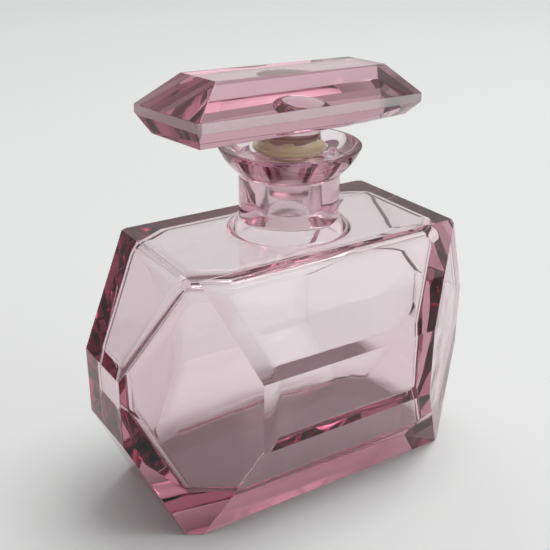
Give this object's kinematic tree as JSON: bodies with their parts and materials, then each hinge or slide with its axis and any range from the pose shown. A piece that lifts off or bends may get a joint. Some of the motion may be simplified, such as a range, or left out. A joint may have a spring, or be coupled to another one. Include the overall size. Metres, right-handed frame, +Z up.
{
  "type": "perfume bottle",
  "caption": "Thick-walled faceted pink glass scent bottle with a flared lip and a lift-out slab stopper ground to fit its neck.",
  "frame": {"origin": "centre of the bottle's base, on the surface it stands on", "axes": "+Z up the neck, X along the bottle's width, -Y out of the broad front"},
  "size_m": [0.117, 0.059, 0.1217],
  "materials": {
    "bottle_glass": "thick, clear, pale rose glass, ground flat and polished, with lightly worn edges",
    "stopper_glass": "clear, pale rose glass with polished facets; ground and stained where it meets the neck"
  },
  "bodies": {
    "bottle": {"bottle": "bottle_glass"},
    "stopper": {"stopper": "stopper_glass"}
  },
  "joints": [
    {"name": "stopper_lift", "type": "slide", "parent": "bottle", "child": "stopper", "axis": [0, 0, 1], "range_m": [0, 0.045]}
  ]
}
